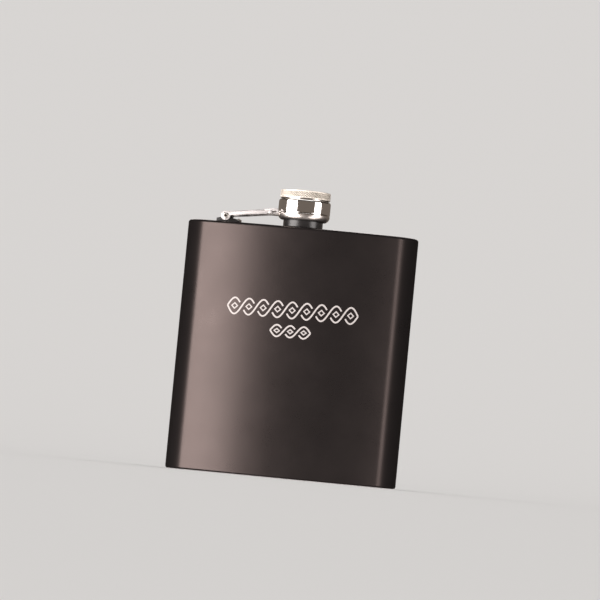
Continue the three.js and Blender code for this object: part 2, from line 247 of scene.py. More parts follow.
def revolve(name, profile_at, segments, centre, sharp=32):
    """Turns a closed loop of (radius, height) points about a vertical axis through centre."""
    points = []
    rows = []
    for i in range(segments):
        angle = TAU * i / segments
        row = []
        for radius, height in profile_at(angle):
            row.append(len(points))
            points.append((
                centre.x + radius * math.cos(angle),
                centre.y + radius * math.sin(angle),
                centre.z + height,
            ))
        rows.append(row)
    faces = []
    for i in range(segments):
        here, after = rows[i], rows[(i + 1) % segments]
        for j in range(len(here)):
            k = (j + 1) % len(here)
            faces.append((here[j], after[j], after[k], here[k]))
    return new_object(name, points, faces, sharp)


def sweep(name, path, section, sharp=32):
    """Sweeps a closed section of (outward, height) along a path of (x, y, nx, ny, sunk).
    (nx, ny) points outward, and sunk draws the outer face in."""
    points = []
    for x, y, nx, ny, sunk in path:
        for outward, height in section:
            shift = outward - sunk * (1 if outward > -WALL / 2 else 0)
            points.append((x + nx * shift, y + ny * shift, height))
    width = len(section)
    faces = []
    for i in range(len(path) - 1):
        for j in range(width):
            k = (j + 1) % width
            faces.append((i * width + j, (i + 1) * width + j, (i + 1) * width + k, i * width + k))
    outline = [Vector((outward, height, 0)) for outward, height in section]
    last = (len(path) - 1) * width
    for a, b, c in tessellate_polygon([outline]):
        faces.append((a, b, c))
        faces.append((last + c, last + b, last + a))
    return new_object(name, points, faces, sharp)


def inset_ring(ring, distance):
    """Moves a closed 2-D ring into the material on its left by a distance."""
    moved = []
    count = len(ring)
    for i, point in enumerate(ring):
        before = (Vector(point) - Vector(ring[i - 1])).normalized()
        after = (Vector(ring[(i + 1) % count]) - Vector(point)).normalized()
        normal = Vector((-before.y - after.y, before.x + after.x)).normalized()
        along = max(0.3, normal.dot(Vector((-after.y, after.x))))
        moved.append(Vector(point) + normal * (distance / along))
    return moved


def slab(name, outline, holes, y0, y1, edge=SHEET_EDGE, place=None, sharp=32):
    """A plate in X-Z, from y0 to y1, with rounded edges. The outline runs anticlockwise in
    (x, z) and the holes clockwise. place turns and moves it."""
    steps = [0, 30, 60, 90]
    side = [(edge * (1 - math.sin(math.radians(t))), edge * (1 - math.cos(math.radians(t))))
            for t in steps]
    layers = [(y0 + rise, inset) for inset, rise in side]
    layers += [(y1 - rise, inset) for inset, rise in reversed(side)]
    rings = [outline] + holes
    points = []
    faces = []
    starts = []
    for ring in rings:
        starts.append(len(points))
        for y, inset in layers:
            points += [(p[0], y, p[1]) for p in inset_ring(ring, inset)]
        for layer in range(len(layers) - 1):
            base = starts[-1] + layer * len(ring)
            for i in range(len(ring)):
                k = (i + 1) % len(ring)
                faces.append((base + i, base + k, base + len(ring) + k, base + len(ring) + i))
    flat = [[Vector((p.x, p.y, 0)) for p in inset_ring(ring, edge)] for ring in rings]
    index = [(ring, i) for ring in range(len(rings)) for i in range(len(rings[ring]))]
    for triangle in tessellate_polygon(flat):
        for layer in (0, len(layers) - 1):
            faces.append(tuple(
                starts[index[t][0]] + layer * len(rings[index[t][0]]) + index[t][1]
                for t in (triangle if layer else reversed(triangle))
            ))
    if place:
        points = [place @ Vector(p) for p in points]
    return new_object(name, points, faces, sharp)


def combine(target, tools, operation, sharp=32):
    """Joins or cuts closed objects; the tools are removed."""
    for tool in tools:
        modifier = target.modifiers.new("combine", "BOOLEAN")
        modifier.operation = operation
        modifier.solver = "EXACT"
        modifier.object = tool
    bpy.context.view_layer.update()
    depsgraph = bpy.context.evaluated_depsgraph_get()
    mesh = bpy.data.meshes.new_from_object(target.evaluated_get(depsgraph))
    target.modifiers.clear()
    target.data = mesh
    for tool in tools:
        bpy.data.objects.remove(tool)
    clean(mesh, sharp)
    return target


# ---- materials ----


class Shader:
    """A Principled material with short calls for the nodes that feed it."""

    def __init__(self, name):
        self.material = bpy.data.materials.new(name)
        self.material.use_nodes = True
        self.nodes = self.material.node_tree.nodes
        self.links = self.material.node_tree.links
        self.bsdf = self.nodes["Principled BSDF"]
        self.place = self.add("ShaderNodeTexCoord").outputs["Object"]

    def add(self, kind, **values):
        node = self.nodes.new(kind)
        for key, value in values.items():
            setattr(node, key, value)
        return node

    def feed(self, socket, value):
        if hasattr(value, "is_linked"):
            self.links.new(value, socket)
        else:
            socket.default_value = value

    def set(self, **values):
        for key, value in values.items():
            self.feed(self.bsdf.inputs[key.replace("_", " ")], value)

    def math(self, operation, *values, clamp=False):
        node = self.add("ShaderNodeMath", operation=operation, use_clamp=clamp)
        for socket, value in zip(node.inputs, values):
            self.feed(socket, value)
        return node.outputs[0]

    def stretch(self, x, y, z):
        node = self.add("ShaderNodeMapping")
        self.links.new(self.place, node.inputs["Vector"])
        node.inputs["Scale"].default_value = (x, y, z)
        return node.outputs[0]

    def noise(self, size_mm, detail=2.0, stretch=None, roughness=0.5):
        node = self.add("ShaderNodeTexNoise")
        self.links.new(stretch or self.place, node.inputs["Vector"])
        node.inputs["Scale"].default_value = 1 / (size_mm * MM)
        node.inputs["Detail"].default_value = detail
        node.inputs["Roughness"].default_value = roughness
        return node.outputs["Fac"]

    def ramp(self, value, low, high, start=0.0, end=1.0):
        node = self.add("ShaderNodeMapRange")
        for socket, number in zip(node.inputs, (value, low, high, start, end)):
            self.feed(socket, number)
        return node.outputs[0]

    def colours(self, factor, first, second):
        node = self.add("ShaderNodeMix", data_type="RGBA")
        self.feed(node.inputs["Factor"], factor)
        self.feed(node.inputs[6], first if hasattr(first, "is_linked") else (*first, 1))
        self.feed(node.inputs[7], second if hasattr(second, "is_linked") else (*second, 1))
        return node.outputs[2]

    def bump(self, height, distance_mm, strength=1.0, normal=None):
        node = self.add("ShaderNodeBump")
        self.links.new(height, node.inputs["Height"])
        node.inputs["Distance"].default_value = distance_mm * MM
        node.inputs["Strength"].default_value = strength
        if normal:
            self.links.new(normal, node.inputs["Normal"])
        return node.outputs[0]

    def axis(self, name):
        node = self.add("ShaderNodeSeparateXYZ")
        self.links.new(self.place, node.inputs[0])
        return node.outputs[name]

    def height_mm(self):
        return self.math("DIVIDE", self.axis("Z"), MM)

    def radius_mm(self):
        """Distance from the neck's axis."""
        x = self.math("DIVIDE", self.axis("X"), MM)
        y = self.math("SUBTRACT", self.math("DIVIDE", self.axis("Y"), MM), NECK_Y)
        squares = self.math("ADD", self.math("MULTIPLY", x, x), self.math("MULTIPLY", y, y))
        return self.math("SQRT", squares)


COAT = (0.009, 0.0080, 0.0081)
STEEL = (0.66, 0.635, 0.61)
# The knurl's valley colour is painted shade, partly grime.
KNURL_STEEL, KNURL_SHADE_AND_GRIME = (0.86, 0.81, 0.735), (0.12, 0.10, 0.075)
TURNING_PITCH = 0.35        # of the lathe marks on the cap's top


def coat_nodes(shader):
    """Satin powder coat: fine orange-peel grain and cloudy gloss."""
    grain = shader.noise(0.32, 3.0)
    peel = shader.noise(1.6, 1.0)
    cloud = shader.noise(14.0, 3.0)
    colour = shader.colours(cloud, COAT, tuple(c * 1.25 for c in COAT))
    roughness = shader.math(
        "ADD", shader.ramp(cloud, 0.3, 0.7, 0.28, 0.32), shader.ramp(grain, 0.3, 0.7, -0.02, 0.03))
    normal = shader.bump(peel, 0.012, 0.35)
    normal = shader.bump(grain, 0.010, 0.55, normal)
    return colour, roughness, normal


def powder_coat():
    shader = Shader("black_powder_coat")
    colour, roughness, normal = coat_nodes(shader)
    shader.set(Base_Color=colour, Roughness=roughness, Normal=normal, Metallic=0.0)
    shader.set(IOR=1.55, Specular_IOR_Level=0.62, Specular_Tint=(1.0, 0.84, 0.79, 1.0))
    return shader.material


def neck_finish():
    """Coated collar below, bare turned steel on the thread and in the bore."""
    shader = Shader("neck_coat_and_steel")
    colour, roughness, normal = coat_nodes(shader)
    jitter = shader.ramp(shader.noise(1.2, 2.0), 0.3, 0.7, -0.08, 0.08)
    z = shader.math("ADD", shader.height_mm(), jitter)
    above = shader.ramp(z, TOP + COLLAR_TOP + 0.15, TOP + COLLAR_TOP + 0.3)
    inside = shader.ramp(shader.radius_mm(), BORE_R + 0.4, BORE_R + 0.2)
    bare = shader.math("MAXIMUM", above, inside)
    turned = shader.noise(0.25, 2.0, shader.stretch(0.05, 0.05, 1.0))
    steel_rough = shader.ramp(turned, 0.3, 0.7, 0.2, 0.34)
    rough_mix = shader.add("ShaderNodeMix", data_type="FLOAT")
    shader.feed(rough_mix.inputs["Factor"], bare)
    shader.feed(rough_mix.inputs[2], roughness)
    shader.feed(rough_mix.inputs[3], steel_rough)
    shader.set(
        Base_Color=shader.colours(bare, colour, STEEL),
        Roughness=rough_mix.outputs[0],
        Metallic=bare,
        Normal=normal,
    )
    return shader.material


def bracket_coat():
    """The coat again, rubbed through to steel along the turned-up tab's edge."""
    shader = Shader("bracket_coat")
    colour, roughness, normal = coat_nodes(shader)
    x = shader.math("DIVIDE", shader.axis("X"), MM)
    rub = shader.noise(0.8, 3.0, roughness=0.7)
    reach = shader.ramp(x, BRACKET_HIGH.x - SHEET - 0.1, BRACKET_HIGH.x - SHEET + 0.1)
    tab_top = BRACKET_LOW.z + TAB_HEIGHT
    rise = shader.ramp(shader.height_mm(), tab_top - 0.7, tab_top - 0.4)
    worn = shader.math(
        "MULTIPLY", shader.math("MULTIPLY", reach, rise), shader.ramp(rub, 0.2, 0.35), clamp=True)
    shader.set(
        Base_Color=shader.colours(worn, colour, STEEL),
        Roughness=roughness,
        Metallic=worn,
        Normal=normal,
    )
    return shader.material


def polished_steel():
    """Mirror polish with faint smudges and hairline wiping marks; darker, browner and rougher on
    the roll.
    """
    shader = Shader("polished_steel")
    smudge = shader.noise(5.0, 4.0, roughness=0.65)
    hair = shader.noise(0.12, 2.0, shader.stretch(0.04, 0.04, 1.0))
    tint = shader.colours(smudge, (0.72, 0.69, 0.66), (0.80, 0.775, 0.75))
    smudged = shader.ramp(smudge, 0.35, 0.75, 0.035, 0.085)
    gloss = shader.math("ADD", smudged, shader.ramp(hair, 0.4, 0.7, 0.0, 0.02))
    roll_top = SLEEVE_LOW.z + ROLL_ZONE_HEIGHT
    # Below the roll's top the steel's colour is darker and browner and its gloss rougher.
    roll_zone = shader.ramp(shader.height_mm(), roll_top + 0.1, roll_top - 0.3)
    tint = shader.colours(roll_zone, tint, (0.50, 0.46, 0.43))
    gloss = shader.math("ADD", gloss, shader.ramp(roll_zone, 0.0, 1.0, 0.0, 0.3))
    shader.set(Base_Color=tint, Metallic=1.0, Roughness=gloss)
    shader.set(Normal=shader.bump(hair, 0.002, 0.25))
    return shader.material


def knurled_steel():
    """Bright knurl whose valleys are darkened by painted shade, partly grime, and a turned top."""
    shader = Shader("knurled_steel")
    radius = shader.radius_mm()
    z = shader.height_mm()
    on_rim = shader.ramp(z, HEAD_HIGH.z - HEAD_EDGE + 0.1, HEAD_HIGH.z - HEAD_EDGE - 0.1)
    deep = shader.ramp(radius, HEAD_R - 0.05, HEAD_R - 0.16)
    valley = shader.math("MULTIPLY", on_rim, deep)
    grime_and_shade_noise = shader.noise(3.0, 3.0)
    # Painted shade, partly grime: the knurl's valleys are darkened, more in some patches than
    # others.
    valley_shade_and_grime = shader.math("MULTIPLY", valley, shader.ramp(grime_and_shade_noise, 0.25, 0.75, 0.7, 1.0), clamp=True)
    rings = shader.add("ShaderNodeTexWave", wave_type="RINGS", rings_direction="Z")
    moved = shader.add("ShaderNodeMapping")
    shader.links.new(shader.place, moved.inputs["Vector"])
    moved.inputs["Location"].default_value = (0, -NECK_Y * MM, 0)
    shader.links.new(moved.outputs[0], rings.inputs["Vector"])
    rings.inputs["Scale"].default_value = math.pi / (20 * TURNING_PITCH * MM)
    rings.inputs["Distortion"].default_value = 0.4
    fine = shader.noise(0.2, 2.0)
    shader.set(
        Base_Color=shader.colours(valley_shade_and_grime, KNURL_STEEL, KNURL_SHADE_AND_GRIME),
        Metallic=1.0,
        Roughness=shader.ramp(fine, 0.3, 0.7, 0.5, 0.62),
        Normal=shader.bump(rings.outputs["Fac"], 0.004, 0.25),
    )
    return shader.material


def brushed_steel(name, tint, along, low, high):
    """Stamped or turned sheet: hairlines along one axis, cloudy gloss."""
    shader = Shader(name)
    lines = shader.noise(0.16, 3.0, shader.stretch(*along))
    cloud = shader.noise(3.0, 3.0)
    darker = tuple(c * 0.82 for c in tint)
    shader.set(
        Base_Color=shader.colours(shader.ramp(lines, 0.3, 0.7), darker, tint),
        Metallic=1.0,
        Roughness=shader.math(
            "ADD", shader.ramp(cloud, 0.3, 0.7, low, high), shader.ramp(lines, 0.3, 0.7, 0, 0.06)),
        Normal=shader.bump(lines, 0.004, 0.4),
    )
    return shader.material


def liner_plastic():
    shader = Shader("pe_liner")
    cloud = shader.noise(2.0, 3.0)
    shader.set(
        Base_Color=shader.colours(cloud, (0.72, 0.70, 0.65), (0.82, 0.80, 0.76)),
        Roughness=shader.ramp(cloud, 0.3, 0.7, 0.45, 0.6),
        Normal=shader.bump(shader.noise(0.3, 2.0), 0.01, 0.3),
    )
    shader.set(Subsurface_Weight=0.15, Subsurface_Scale=0.001)
    return shader.material


def etched_steel():
    """Laser-etched steel: pale and matt, with the beam's fine hatching."""
    shader = Shader("etched_steel")
    hatch = shader.noise(0.15, 2.0, shader.stretch(1.0, 1.0, 0.2))
    patch = shader.noise(1.5, 3.0)
    shader.set(
        Base_Color=shader.colours(patch, (0.50, 0.475, 0.455), (0.64, 0.615, 0.60)),
        Metallic=0.35,
        Roughness=shader.ramp(hatch, 0.3, 0.7, 0.5, 0.68),
        Normal=shader.bump(hatch, 0.006, 0.5),
    )
    return shader.material


# ---- the body ----


def bow(radius, start, end, steps, side, sunk=0.0):
    """Points of a section arc about the bow's centre, with their outward normals."""
    return [section_point(0, BOW_Y, radius, start + (end - start) * i / steps, side, sunk)
            for i in range(steps + 1)]


def section_point(cx, cy, radius, angle, side=1, sunk=0.0):
    c, s = math.cos(angle), math.sin(angle)
    return cx + radius * c, cy + radius * s, side * c, side * s, sunk


def end_arc(side, start, end, steps=END_STEPS):
    """One rounded side's arc; `side` is -1 at the left and 1 at the right."""
    return [section_point(side * END_X, END_Y, END_R, start + (end - start) * i / steps)
            for i in range(steps + 1)]


def seam(side, towards, first):
    """The last points before a side's weld, easing in to a small fillet."""
    base = math.pi if side < 0 else 0.0
    points = []
    for degrees in (90, 60, 30, 0):
        along = SEAM_GAP + SEAM_FILLET * (1 - math.cos(math.radians(degrees)))
        sunk = SEAM_FILLET * (1 - math.cos(math.radians(degrees)))
        points.append(section_point(
            side * END_X, END_Y, END_R, base + towards * along / END_R, 1, sunk))
    points.sort(key=lambda p: p[4], reverse=first)
    return points


def front_path():
    down = 1.5 * math.pi
    skip = (SEAM_GAP + 2 * SEAM_FILLET) / END_R
    return (
        seam(-1, 1, True)
        + end_arc(-1, math.pi + skip, down - END_ANGLE)
        + bow(FRONT_R, down - END_ANGLE, down + END_ANGLE, FRONT_STEPS, 1)[1:-1]
        + end_arc(1, down + END_ANGLE, TAU - skip)
        + seam(1, -1, False)
    )


def back_path():
    up, down = 0.5 * math.pi, 1.5 * math.pi
    skip = (SEAM_GAP + 2 * SEAM_FILLET) / END_R
    return (
        seam(1, 1, True)
        + end_arc(1, skip, up + END_ANGLE)
        + bow(MID_R - END_R, down + END_ANGLE, down - END_ANGLE, BACK_STEPS, -1)[1:-1]
        + end_arc(-1, up - END_ANGLE, math.pi - skip)
        + seam(-1, -1, False)
    )


def shell_section():
    """Wall with rims that roll in over the end plates; (outward, height) anticlockwise."""
    low, high, hold = FRONT_LOW.z, TOP, 0.3
    bottom = arc(-RIM_R, low + RIM_R, RIM_R, 270, 360, 8)
    upper = arc(-RIM_R, high - RIM_R, RIM_R, 0, 90, 8)
    inner_bottom = low + PLATE
    inner_top = high - PLATE
    return (
        [(-RIM_LAND, low)] + bottom + [(0, low + RIM_R + hold), (0, high - RIM_R - hold)] + upper
        + [(-RIM_LAND, high), (-RIM_LAND, inner_top), (-WALL, inner_top - RIM_R)]
        + [(-WALL, inner_bottom + RIM_R), (-RIM_LAND, inner_bottom)]
    )


def shells(material):
    section = shell_section()
    front = sweep("front_skin", front_path(), section)
    dress(front, "flask", ["front_shell"], material)
    back = sweep("back_skin", back_path(), section)
    dress(back, "flask", ["back_shell"], material)
    return [front, back]


def end_plate(name, node, bottom, hole_r, material):
    """A flat plate inside the rim, with softened edges."""
    inset = RIM_LAND + GROOVE
    down, up = 1.5 * math.pi, 0.5 * math.pi
    left, right = down - END_ANGLE, down + END_ANGLE
    outline = (
        end_arc(-1, math.pi, left, PLATE_END_STEPS)
        + bow(FRONT_R, left, right, PLATE_BOW_STEPS, 1)[1:-1]
        + end_arc(1, right, TAU, PLATE_END_STEPS)
        + end_arc(1, 0, up + END_ANGLE, PLATE_END_STEPS)[1:]
        + bow(MID_R - END_R, right, left, PLATE_BOW_STEPS, -1)[1:-1]
        + end_arc(-1, up - END_ANGLE, math.pi, PLATE_END_STEPS)[:-1]
    )
    ring = [(x - nx * inset, -(y - ny * inset)) for x, y, nx, ny, _ in outline]
    ring.reverse()
    holes = [round_hole(0, -NECK_Y, hole_r, 64)] if hole_r else []
    lay_flat = Matrix.Translation((0, 0, bottom)) @ Matrix.Rotation(math.pi / 2, 4, "X")
    plate = slab(name, ring, holes, 0, PLATE, PLATE_EDGE, lay_flat)
    dress(plate, "flask", [node], material)


# ---- ornament on the front ----

# Each plait's centre height, half length, number of loops and height of a loop.
PLAITS = ((66.2, 26.0, 9, 6.4), (57.8, 8.0, 3, 4.6))
PLAIT_GAP = 0.85            # how short the under-strand stops at a crossing
LOZENGE_HALF = (0.2, 0.17)  # half width and height of a lozenge, as shares of its loop
STRAND_STEPS = 18
ORNAMENT_STROKE = 0.62
ORNAMENT_PROUD = 0.02
ORNAMENT_SUNK = 0.05


def on_front(u, z, outward):
    """A point at arc length u from the middle of the front, pushed outward."""
    angle = u / FRONT_R
    radius = FRONT_R + outward
    return radius * math.sin(angle), BOW_Y - radius * math.cos(angle), z


def ribbon(line, closed=False):
    """Points and faces of a flat closed stroke along a 2-D line, laid on the front."""
    count = len(line)
    half = ORNAMENT_STROKE / 2
    points = []
    for i, (u, z) in enumerate(line):
        before = line[i - 1] if closed or i else line[i]
        after = line[(i + 1) % count] if closed or i < count - 1 else line[i]
        along = (Vector(after) - Vector(before)).normalized()
        for across, outward in (
            (-half, -ORNAMENT_SUNK), (half, -ORNAMENT_SUNK), (half, ORNAMENT_PROUD),
            (-half, ORNAMENT_PROUD),
        ):
            points.append(on_front(u - along.y * across, z + along.x * across, outward))
    faces = []
    for i in range(count if closed else count - 1):
        a, b = i * 4, (i + 1) % count * 4
        faces += [(a + j, a + (j + 1) % 4, b + (j + 1) % 4, b + j) for j in range(4)]
    if not closed:
        faces += [(3, 2, 1, 0), tuple((count - 1) * 4 + j for j in range(4))]
    return points, faces


def plait(centre_z, half_length, loops, height):
    """Two crossing waves whose under-strand stops short at each crossing, with a lozenge
    in each loop. Gives strokes as (line, closed)."""
    step = 2 * half_length / loops
    trim = PLAIT_GAP / step
    strokes = []
    for strand in (1, -1):
        line = []
        for loop in range(loops):
            start = -half_length + loop * step
            leads = (loop % 2 == 0) == (strand > 0)
            trim_start = 0 if leads or loop == 0 else trim
            trim_end = trim if leads and loop < loops - 1 else 0
            for i in range(1 if line else 0, STRAND_STEPS + 1):
                t = trim_start + (1 - trim_start - trim_end) * i / STRAND_STEPS
                swell = strand * (1 if loop % 2 == 0 else -1) * height / 2
                line.append((start + t * step, centre_z + swell * math.sin(math.pi * t)))
            if trim_end or loop == loops - 1:
                strokes.append((line, False))
                line = []
    for loop in range(loops):
        middle = -half_length + (loop + 0.5) * step
        wide, tall = LOZENGE_HALF[0] * step, LOZENGE_HALF[1] * height
        strokes.append((
            [(middle - wide, centre_z), (middle, centre_z + tall),
             (middle + wide, centre_z), (middle, centre_z - tall)], True))
    return strokes


def front_ornament(material):
    points = []
    faces = []
    strokes = [stroke for sizes in PLAITS for stroke in plait(*sizes)]
    for line, closed in strokes:
        piece_points, piece_faces = ribbon(line, closed)
        base = len(points)
        points += piece_points
        faces += [tuple(base + i for i in face) for face in piece_faces]
    ornament = new_object("front_engraving", points, faces)
    dress(ornament, "flask", [], material)
    return ornament


# ---- neck and cap ----


def rib_height(angle, z, phase, span):
    """How far a thread rib stands up, from 0 to 1."""
    turn = z / PITCH - angle / TAU - phase
    offset = abs(turn - round(turn)) * PITCH
    flank = min(1, max(0, (RIB_FOOT - offset) / (RIB_FOOT - RIB_CREST)))
    fade = min(1, max(0, min(z - span[0], span[1] - z) / THREAD_FADE))
    return flank * flank * (3 - 2 * flank) * fade


def thread_rows(angle, root, crest, phase, span, rows):
    for i in range(rows + 1):
        z = span[0] + (span[1] - span[0]) * i / rows
        yield root + (crest - root) * rib_height(angle, z, phase, span), z


def neck(material):
    foot = NECK_LOW.z - TOP
    weld = arc(COLLAR_R + WELD_FILLET, WELD_FILLET, WELD_FILLET, 270, 180, 5)
    edge = arc(COLLAR_R - COLLAR_EDGE, COLLAR_TOP - COLLAR_EDGE, COLLAR_EDGE, 0, 90, 5)
    lip = arc(NECK_LIP_R - LIP_ROUND, NECK_RIM - LIP_ROUND, LIP_ROUND, 0, 90, 4)
    mouth = arc(BORE_R + MOUTH_ROUND, NECK_RIM - MOUTH_ROUND, MOUTH_ROUND, 90, 180, 4)

    def profile(angle):
        return (
            [(BORE_R, foot), (COLLAR_R, foot), (COLLAR_R, foot + PLATE), (SPIGOT_R, foot + PLATE)]
            + [(SPIGOT_R, -0.2), (COLLAR_R + WELD_FILLET, -0.05)]
            + weld
            + edge
            + [(NECK_ROOT_R + 0.15, COLLAR_TOP), (NECK_ROOT_R, COLLAR_TOP + 0.15)]
            + list(thread_rows(angle, NECK_ROOT_R, NECK_CREST_R, 0, NECK_THREAD, 40))
            + lip
            + mouth
        )

    spout = revolve("neck", profile, NECK_STEPS, NECK_ORIGIN)
    dress(spout, "flask", ["neck_spout"], material)


def insert(material):
    mouth = INSERT_LOW.z - TOP
    roof = LINER_HIGH.z - TOP + 0.3
    floor = roof + PLUG_WALL
    top = INSERT_HIGH.z - TOP
    shoulder = arc(BARREL_R - 0.3, BARREL_SHOULDER + 0.2, 0.3, -50, 0, 3)

    def profile(angle):
        thread = list(thread_rows(angle, CAP_ROOT_R, CAP_CREST_R, 0.5, CAP_THREAD, 44))
        return (
            [(BARREL_MOUTH_R - 0.12, mouth), (BARREL_MOUTH_R, mouth + 0.12),
             (BARREL_MOUTH_R, mouth + 0.3)]
            + shoulder
            + [(BARREL_R, BARREL_TOP), (PLUG_R, BARREL_TOP), (PLUG_R, top)]
            + [(PLUG_R - PLUG_WALL, top), (PLUG_R - PLUG_WALL, floor), (AXIS_R, floor)]
            + [(AXIS_R, roof), (CAP_ROOT_R, roof)]
            + thread[::-1]
            + [(CAP_ROOT_R, mouth + 0.1), (CAP_ROOT_R + 0.1, mouth)]
        )

    barrel = revolve("cap_insert_fine", profile, NECK_STEPS, NECK_ORIGIN)
    dress(barrel, "cap", ["cap_insert"], material)


def liner(material):
    low, high = LINER_LOW.z - TOP, LINER_HIGH.z - TOP
    pressed = low + LINER_GROOVE
    edge_r = LINER_R - LINER_ROUND
    profile = (
        [(AXIS_R, low), (3.0, low), (BORE_R - 0.3, low), (BORE_R - 0.15, low)]
        + [(BORE_R, pressed), (NECK_LIP_R, pressed), (NECK_LIP_R + 0.15, low)]
        + arc(edge_r, low + LINER_ROUND, LINER_ROUND, 270, 360, 4)
        + arc(edge_r, high - LINER_ROUND, LINER_ROUND, 0, 90, 4)
        + [(AXIS_R, high)]
    )
    disc = revolve("cap_liner_fine", lambda angle: profile, 96, NECK_ORIGIN)
    dress(disc, "cap", ["cap_liner"], material)


def sleeve(material):
    low, high = SLEEVE_LOW.z - TOP, SLEEVE_HIGH.z - TOP
    centre_r = SLEEVE_R - SLEEVE_ROLL
    turned = math.degrees(math.acos((SLEEVE_LIP_R - centre_r) / SLEEVE_ROLL))
    centre_z = low + SLEEVE_ROLL * math.sin(math.radians(turned))
    inner_roll = SLEEVE_ROLL - SLEEVE_WALL
    inner_turned = math.degrees(math.acos((SLEEVE_LIP_R - centre_r) / inner_roll))
    inner_shoulder = SLEEVE_SHOULDER - SLEEVE_WALL
    shoulder_z = high - SLEEVE_SHOULDER
    crease = [
        (SLEEVE_R - SLEEVE_CREASE * (1 - math.cos(math.radians(t))) / 2,
         centre_z + CREASE_RISE + CREASE_TALL * t / 360)
        for t in range(0, 361, 45)
    ]
    profile = (
        arc(centre_r, centre_z, inner_roll, 0, -inner_turned, 14)
        + arc(centre_r, centre_z, SLEEVE_ROLL, -turned, 0, 20)
        + crease
        + [(SLEEVE_R, centre_z + 0.8), (SLEEVE_R, shoulder_z - 0.25)]
        + arc(SLEEVE_R - SLEEVE_SHOULDER, shoulder_z, SLEEVE_SHOULDER, 0, 90, 12)
        + [(SLEEVE_R - SLEEVE_SHOULDER - SLEEVE_LAP, high)]
        + [(SLEEVE_R - SLEEVE_SHOULDER - SLEEVE_LAP, high - SLEEVE_WALL)]
        + arc(SLEEVE_R - SLEEVE_SHOULDER, shoulder_z, inner_shoulder, 90, 0, 6)
    )
    ring = revolve("sleeve", lambda angle: profile, SLEEVE_STEPS, NECK_ORIGIN)
    dress(ring, "sleeve", ["swivel_sleeve"], material)


def knurl(angle, height):
    """Depth of a diamond knurl, from 0 on a crest to 1 in a valley."""
    around = angle / TAU * KNURL_AROUND
    climb = height * KNURL_ROWS
    first = abs((around + climb) % 1 - 0.5) * 2
    second = abs((around - climb) % 1 - 0.5) * 2
    return 1 - min(1, 1.45 * min(1 - first, 1 - second))


def head(material):
    low, high = HEAD_LOW.z - TOP, HEAD_HIGH.z - TOP
    rows = 36
    inner = HEAD_R - SHEET - KNURL_DEPTH
    bottom, top = low + HEAD_FOOT, high - HEAD_EDGE
    crown = arc(HEAD_R - HEAD_EDGE, high - HEAD_EDGE, HEAD_EDGE - 0.06, 15, 90, 7)

    def profile(angle):
        band = []
        for i in range(rows + 1):
            t = i / rows
            fade = min(1, 9 * t, 9 * (1 - t))
            depth = KNURL_DEPTH * knurl(angle, t) * fade
            band.append((HEAD_R - 0.02 - depth, bottom + (top - bottom) * t))
        return (
            [(inner, low), (HEAD_R - 0.3, low), (HEAD_R - 0.1, low + 0.1)]
            + band
            + crown
            + [(HEAD_R - 1.0, high), (HEAD_R - 1.1, high - 0.02), (6.0, high), (AXIS_R, high)]
            + [(AXIS_R, high - SHEET), (inner, high - SHEET)]
        )

    cap = revolve("cap_head_fine", profile, KNURL_AROUND * KNURL_STEPS, NECK_ORIGIN, 40)
    dress(cap, "cap", ["cap_head"], material)


# ---- hinge, arm and lug ----


def turned_pin(name, centre, shank, head_r, half, bore):
    """A pin along Y with domed heads, tubular if it has a bore."""
    dome = [(head_r * 0.98, half - PIN_HEAD), (head_r, half - PIN_HEAD * 0.7),
            (head_r * 0.92, half - PIN_HEAD * 0.28), (head_r * 0.72, half - PIN_HEAD * 0.05)]
    end = [(max(bore, 0.02) + 0.12, half), (max(bore, 0.02), half - 0.12)]
    upper = [(shank, half - PIN_HEAD)] + dome + end
    profile = [(r, -z) for r, z in reversed(upper)] + upper
    pin = revolve(name, lambda angle: profile, 48, Vector((0, 0, 0)), 45)
    pin.data.transform(Matrix.Rotation(math.pi / 2, 4, "X"))
    pin.data.transform(Matrix.Translation(centre * MM))
    return pin


def hinge_rivet(material):
    half = (RIVET_HIGH.y - RIVET_LOW.y) / 2
    head_r = (RIVET_HIGH.x - RIVET_LOW.x) / 2
    rivet = turned_pin("hinge_tube_rivet", HINGE, HINGE_PIN_R, head_r, half, RIVET_BORE_R)
    dress(rivet, "flask", ["hinge_rivet"], material)


def slot_pin(material):
    half = (PIN_HIGH.y - PIN_LOW.y) / 2
    head_r = (PIN_HIGH.x - PIN_LOW.x) / 2
    pin = turned_pin("slot_pin_fine", SLOT_PIN, SLOT_PIN_R, head_r, half, 0)
    dress(pin, "pin", ["slot_pin"], material)


def bracket(material):
    """A folded channel: base with a turned-up tab, and a cheek at each side."""
    foot = TOP - HINGE.z - 0.02
    half = (BRACKET_HIGH.y - BRACKET_LOW.y) / 2
    left, right = BRACKET_LOW.x - HINGE.x, BRACKET_HIGH.x - HINGE.x
    floor = foot + 0.3 + SHEET
    narrow = floor + CHEEK_FOOT
    cheek = (
        [(left, foot), (right - SHEET, foot), (right - SHEET, narrow)]
        + arc(0, 0, CHEEK_R, -CHEEK_SPREAD, 180 + CHEEK_SPREAD, 28)
        + [(left, narrow)]
    )
    hole = [round_hole(0, 0, HINGE_PIN_R + PIN_CLEARANCE)]
    tab_top = BRACKET_LOW.z - HINGE.z + TAB_HEIGHT
    base = (
        [(left, foot), (right - 0.5, foot)]
        + arc(right - TAB_BEND, foot + TAB_BEND, TAB_BEND, -80, 0, 5)
        + [(right, tab_top), (right - SHEET, tab_top), (right - SHEET, floor), (left, floor)]
    )
    place = Matrix.Translation(HINGE)
    body = slab("bracket", base, [], -half, half, BRACKET_EDGE, place)
    sides = [
        slab("cheek", cheek, hole, side - SHEET / 2, side + SHEET / 2, BRACKET_EDGE, place)
        for side in (-half + SHEET / 2, half - SHEET / 2)
    ]
    combine(body, sides, "UNION")
    dress(body, "flask", ["hinge_bracket"], material)


